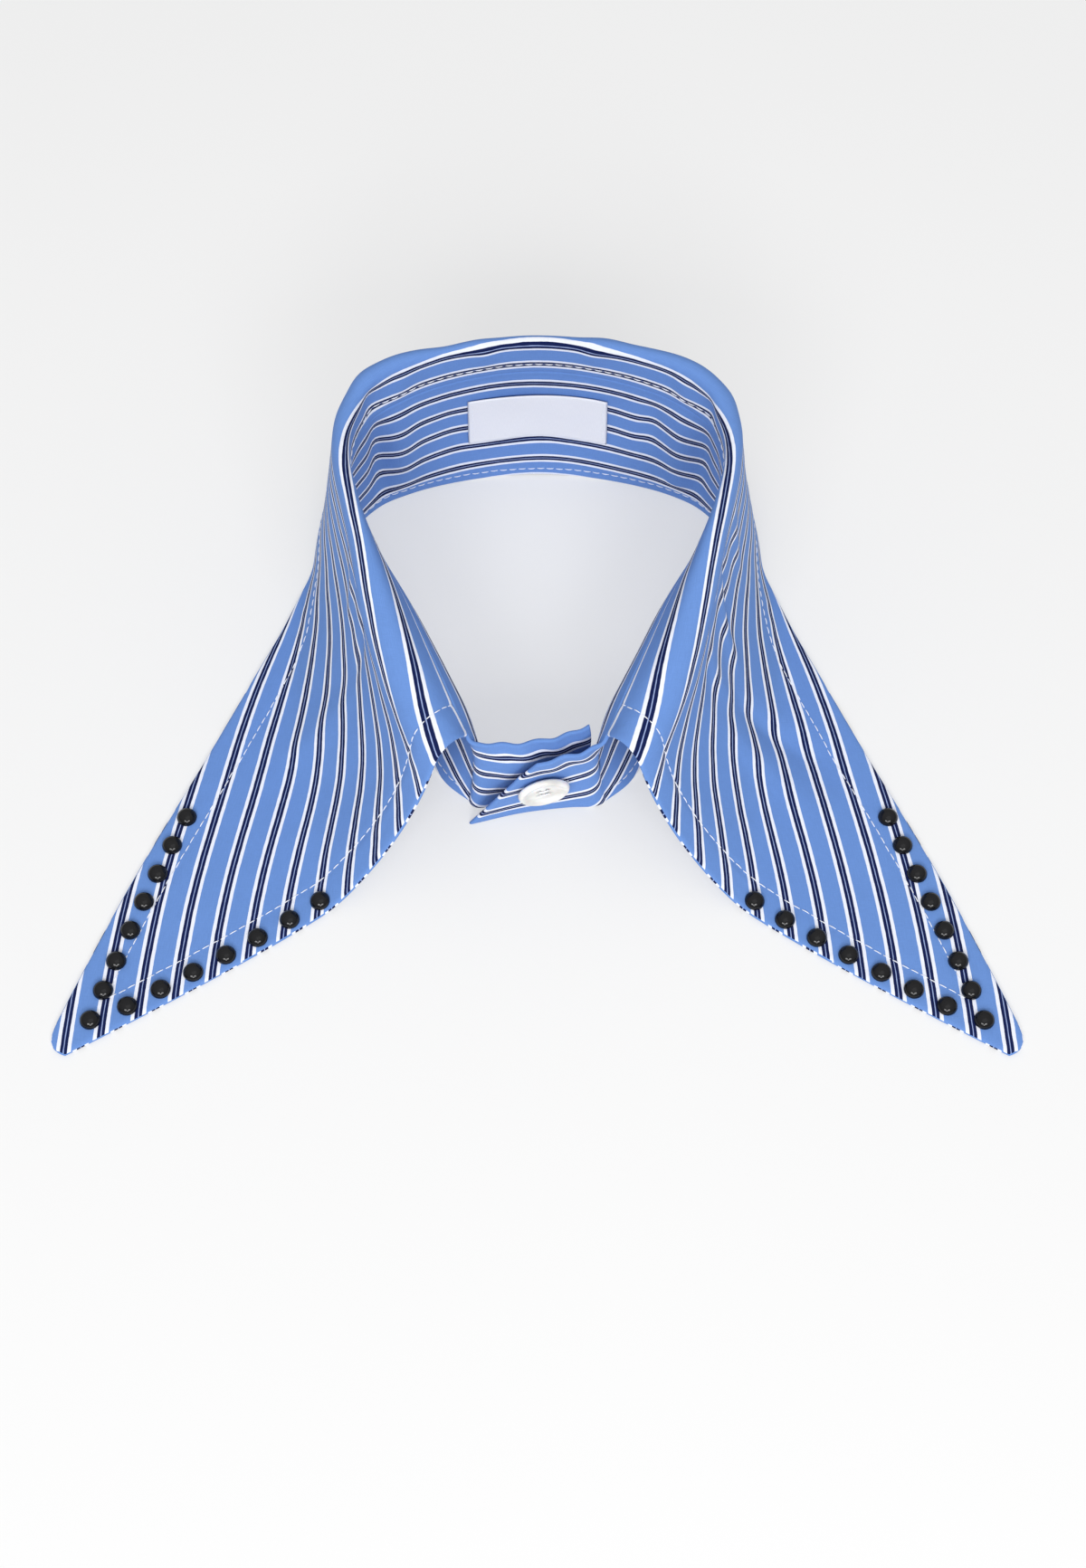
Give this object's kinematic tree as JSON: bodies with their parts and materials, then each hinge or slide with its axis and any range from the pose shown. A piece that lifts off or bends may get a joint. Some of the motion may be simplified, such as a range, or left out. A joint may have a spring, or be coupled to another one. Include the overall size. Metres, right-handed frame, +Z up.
{
  "type": "detachable shirt collar",
  "caption": "Detachable shirt collar of striped cotton shirting, buttoned and free-standing, with long points edged with domed studs.",
  "frame": {"origin": "on the table, under the middle of the whole collar's bounding box", "axes": "+X to the right as seen from the front, +Y towards the back of the neck, +Z up"},
  "size_m": [0.2492, 0.2004, 0.0663],
  "materials": {
    "shirting": "plain-woven cotton shirting, blue with paired navy and white pinstripes",
    "label_satin": "white satin ribbon",
    "button_pearl": "pearly polyester",
    "stud_black": "glossy black enamel dome"
  },
  "bodies": {
    "root": {"collar_fall": "shirting", "collar_stand": "shirting", "label": "label_satin", "button": "button_pearl", "stud_right_01": "stud_black", "stud_right_02": "stud_black", "stud_right_03": "stud_black", "stud_right_04": "stud_black", "stud_right_05": "stud_black", "stud_right_06": "stud_black", "stud_right_07": "stud_black", "stud_right_08": "stud_black", "stud_right_09": "stud_black", "stud_right_10": "stud_black", "stud_right_11": "stud_black", "stud_right_12": "stud_black", "stud_right_13": "stud_black", "stud_right_14": "stud_black", "stud_right_15": "stud_black", "stud_left_01": "stud_black", "stud_left_02": "stud_black", "stud_left_03": "stud_black", "stud_left_04": "stud_black", "stud_left_05": "stud_black", "stud_left_06": "stud_black", "stud_left_07": "stud_black", "stud_left_08": "stud_black", "stud_left_09": "stud_black", "stud_left_10": "stud_black", "stud_left_11": "stud_black", "stud_left_12": "stud_black", "stud_left_13": "stud_black", "stud_left_14": "stud_black", "stud_left_15": "stud_black"}
  },
  "joints": []
}
